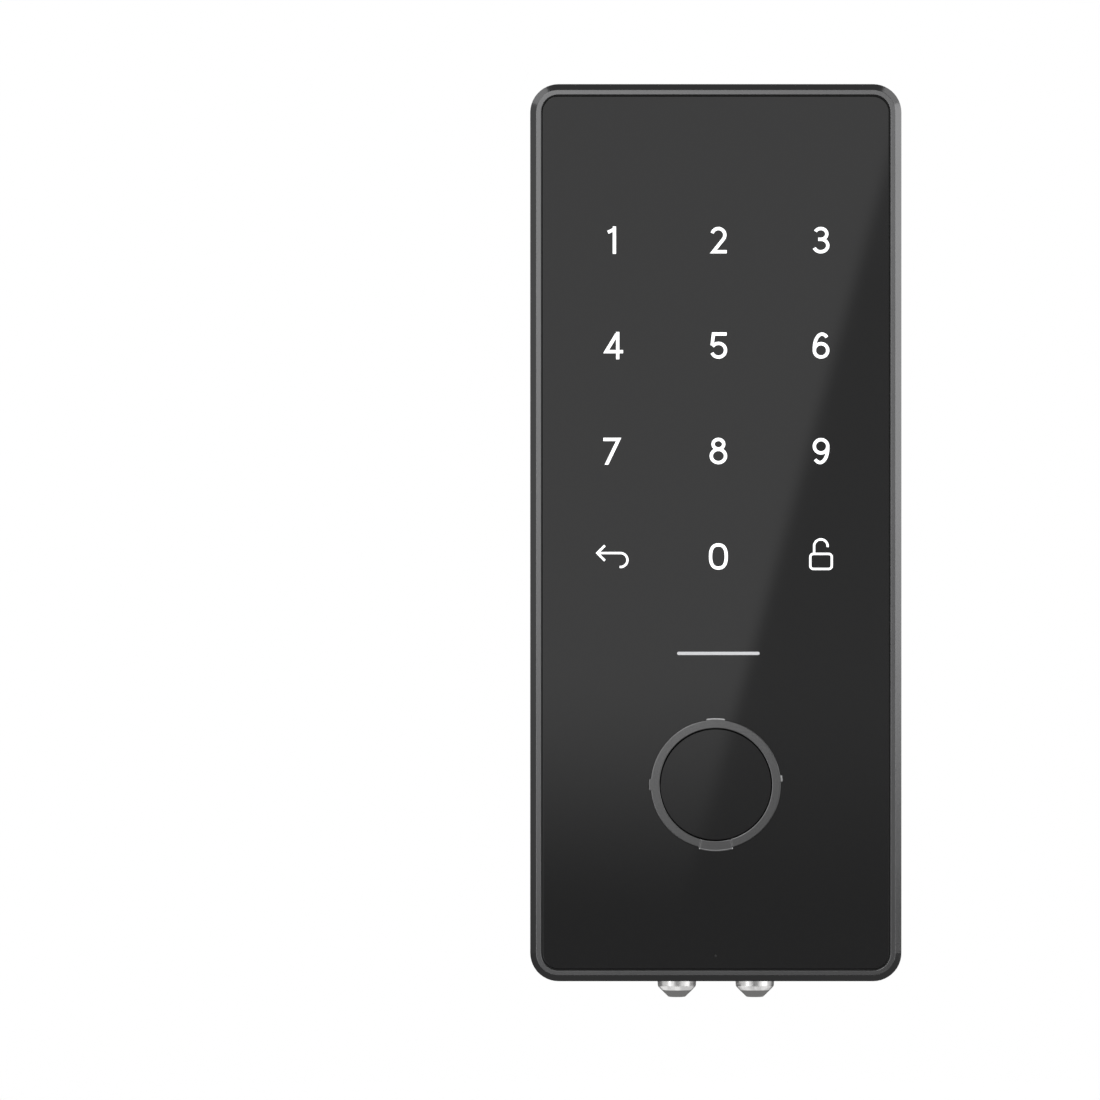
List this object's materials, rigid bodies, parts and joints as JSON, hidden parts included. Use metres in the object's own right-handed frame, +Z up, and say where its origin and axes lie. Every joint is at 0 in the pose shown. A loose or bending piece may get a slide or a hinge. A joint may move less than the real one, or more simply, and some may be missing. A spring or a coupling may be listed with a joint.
{
  "type": "keypad smart lock",
  "caption": "Surface-mounted keypad smart lock: glass touch keypad with fingerprint reader outside, motor-driven deadbolt, thumb turn and battery case inside.",
  "frame": {"origin": "centre of the outside unit's back face, on the door's outer face", "axes": "+X towards the door's free edge, where the deadbolt comes out; +Y through the door into the room; +Z up. The keypad faces -Y."},
  "size_m": [0.072, 0.1205, 0.1775],
  "materials": {
    "frame_metal": "fine-blasted dark grey anodised",
    "panel_glass": "polished, printed black behind",
    "black_plastic": "fine textured",
    "diffuser_plastic": "milky white",
    "spring_steel": "bright nickel",
    "lamp_resin": "clear yellow resin",
    "circuit_board": "solder mask",
    "chip_black": "moulded epoxy",
    "connector_plastic": "natural nylon",
    "ring_metal": "satin dark anodised",
    "sensor_face": "hard coated",
    "cast_back": "powder coated casting",
    "gasket_rubber": "matt moulded",
    "terminal_nickel": "turned and nickel plated",
    "screw_steel": "zinc plated",
    "plate_steel": "zinc plated sheet",
    "chassis_metal": "dark grey coated casting",
    "bush_nylon": "black nylon",
    "bolt_steel": "satin nickel",
    "gear_steel": "machined",
    "gear_acetal": "natural acetal",
    "motor_can": "drawn and plated",
    "battery_wrap": "printed film, plain",
    "tray_plastic": "black moulded",
    "cover_plastic": "fine spark-eroded texture",
    "knob_metal": "fine-blasted dark grey anodised",
    "button_plastic": "satin grey"
  },
  "bodies": {
    "lock_body": {"battery_1": "battery_wrap", "battery_2": "battery_wrap", "battery_3": "battery_wrap", "battery_4": "battery_wrap", "battery_contacts": "spring_steel", "battery_tray": "tray_plastic", "board_components": "chip_black", "board_connector": "connector_plastic", "bolt_bush": "bush_nylon", "bolt_guide_plate": "plate_steel", "button_board": "circuit_board", "buzzer": "black_plastic", "cable_grommet": "gasket_rubber", "chassis_screws": "screw_steel", "door_gasket": "gasket_rubber", "fingerprint_ring": "ring_metal", "fingerprint_sensor": "sensor_face", "gear_axle": "gear_steel", "gear_motor": "motor_can", "gear_plate": "plate_steel", "gear_plate_screws": "screw_steel", "guide_plate_screws": "screw_steel", "inner_case_screws": "screw_steel", "inner_chassis": "chassis_metal", "inner_cover": "cover_plastic", "key_leds": "lamp_resin", "light_diffusers": "diffuser_plastic", "light_mask": "black_plastic", "main_board": "circuit_board", "main_board_connector": "connector_plastic", "main_board_parts": "chip_black", "main_board_screws": "screw_steel", "motor_gearbox": "motor_can", "mounting_plate": "plate_steel", "outer_back_plate": "cast_back", "outer_case_screws": "screw_steel", "outer_frame": "frame_metal", "panel_glass": "panel_glass", "power_terminal_left": "terminal_nickel", "power_terminal_right": "terminal_nickel", "sensor_module": "black_plastic", "sensor_retainer": "spring_steel", "setup_switch": "chip_black", "terminal_block": "black_plastic", "terminal_bushings": "black_plastic", "through_bolts": "screw_steel", "touch_board": "circuit_board", "touch_springs": "spring_steel", "wave_washer": "spring_steel"},
    "thumb_turn": {"thumb_turn": "knob_metal", "turn_shaft": "gear_steel", "drive_gear": "gear_acetal", "hub_clip": "spring_steel"},
    "deadbolt": {"deadbolt": "bolt_steel", "bolt_rack": "gear_steel"},
    "reduction_gear": {"reduction_gear": "gear_acetal"},
    "motor_pinion": {"motor_pinion": "gear_steel"},
    "battery_cover": {"battery_cover": "cover_plastic"},
    "setup_button": {"setup_button": "button_plastic"},
    "lock_button": {"lock_button": "button_plastic"}
  },
  "joints": [
    {"name": "thumb_turn", "type": "hinge", "parent": "lock_body", "child": "thumb_turn", "pos_m": [0, 0.08, -0.03], "axis": [0, 1, 0], "range_deg": [0, 90]},
    {"name": "deadbolt_slide", "type": "slide", "parent": "lock_body", "child": "deadbolt", "axis": [1, 0, 0], "range_m": [0, 0.02042]},
    {"name": "reduction_gear_spin", "type": "hinge", "parent": "lock_body", "child": "reduction_gear", "pos_m": [-0.01645, 0.05, -0.0395], "axis": [0, 1, 0], "range_deg": [-196, 0]},
    {"name": "motor_pinion_spin", "type": "hinge", "parent": "lock_body", "child": "motor_pinion", "pos_m": [-0.00514, 0.05, -0.05298], "axis": [0, 1, 0], "range_deg": [0, 521]},
    {"name": "battery_cover_slide", "type": "slide", "parent": "lock_body", "child": "battery_cover", "axis": [0, 0, 1], "range_m": [0, 0.07]},
    {"name": "setup_button_press", "type": "slide", "parent": "lock_body", "child": "setup_button", "axis": [0, -1, 0], "range_m": [0, 0.0005], "stiffness_N_per_m": 2500},
    {"name": "lock_button_press", "type": "slide", "parent": "lock_body", "child": "lock_button", "axis": [0, -1, 0], "range_m": [0, 0.001], "stiffness_N_per_m": 2000}
  ],
  "couplings": [
    {"joint": "thumb_turn", "follows": "deadbolt_slide", "rad_per_m": 76.923},
    {"joint": "reduction_gear_spin", "follows": "deadbolt_slide", "rad_per_m": -166.67},
    {"joint": "motor_pinion_spin", "follows": "deadbolt_slide", "rad_per_m": 444.44}
  ]
}
